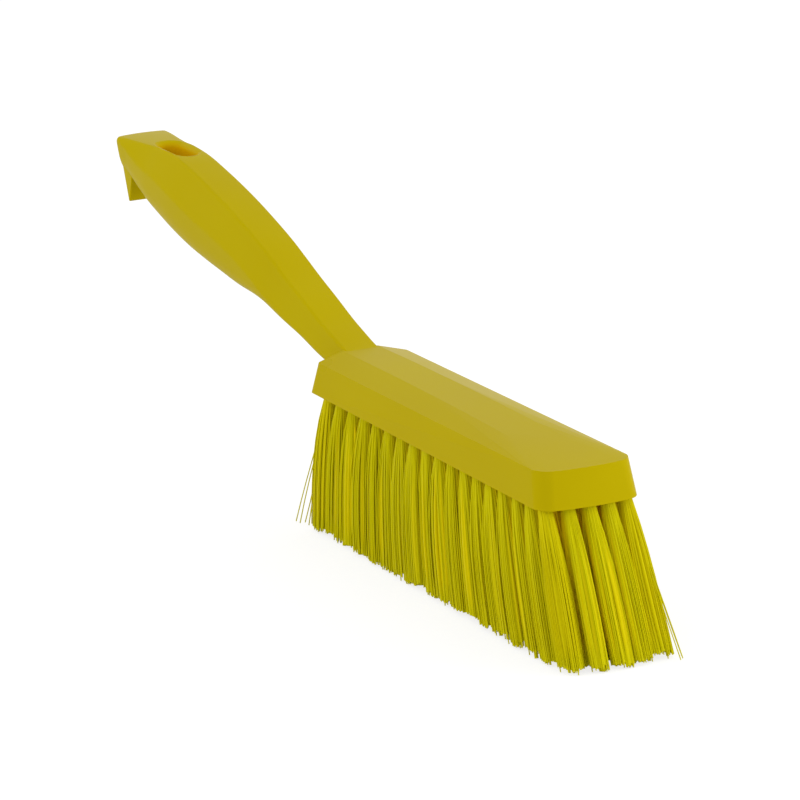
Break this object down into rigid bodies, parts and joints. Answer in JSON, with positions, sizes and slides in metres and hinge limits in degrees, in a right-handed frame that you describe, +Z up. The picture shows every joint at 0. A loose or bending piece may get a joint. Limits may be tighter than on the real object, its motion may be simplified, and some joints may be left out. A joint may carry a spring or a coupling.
{
  "type": "hand brush",
  "caption": "Short-handled sweeping brush: plastic block and raised handle in one piece, with a hanging slot, a hook at the tip and soft filament tufts.",
  "frame": {"origin": "centre of the overall footprint, in the plane of the bristle tips", "axes": "+X from the handle's tip towards the block's front, +Y across the block, +Z up from the bristle tips to the block"},
  "size_m": [0.3466, 0.042, 0.0994],
  "materials": {
    "yellow_plastic": "moulded polypropylene, satin to semi-gloss",
    "yellow_filament": "polyester brush filament",
    "stainless_steel": "drawn flat wire"
  },
  "bodies": {
    "root": {"handle_and_block": "yellow_plastic", "tuft_row_01": "yellow_filament", "tuft_row_02": "yellow_filament", "tuft_row_03": "yellow_filament", "tuft_row_04": "yellow_filament", "tuft_row_05": "yellow_filament", "tuft_row_06": "yellow_filament", "tuft_row_07": "yellow_filament", "tuft_row_08": "yellow_filament", "tuft_row_09": "yellow_filament", "tuft_row_10": "yellow_filament", "tuft_row_11": "yellow_filament", "tuft_row_12": "yellow_filament", "tuft_row_13": "yellow_filament", "tuft_row_14": "yellow_filament", "tuft_row_15": "yellow_filament", "tuft_row_16": "yellow_filament", "tuft_row_17": "yellow_filament", "tuft_row_18": "yellow_filament", "anchor_row_01": "stainless_steel", "anchor_row_02": "stainless_steel", "anchor_row_03": "stainless_steel", "anchor_row_04": "stainless_steel", "anchor_row_05": "stainless_steel", "anchor_row_06": "stainless_steel", "anchor_row_07": "stainless_steel", "anchor_row_08": "stainless_steel", "anchor_row_09": "stainless_steel", "anchor_row_10": "stainless_steel", "anchor_row_11": "stainless_steel", "anchor_row_12": "stainless_steel", "anchor_row_13": "stainless_steel", "anchor_row_14": "stainless_steel", "anchor_row_15": "stainless_steel", "anchor_row_16": "stainless_steel", "anchor_row_17": "stainless_steel", "anchor_row_18": "stainless_steel"}
  },
  "joints": []
}
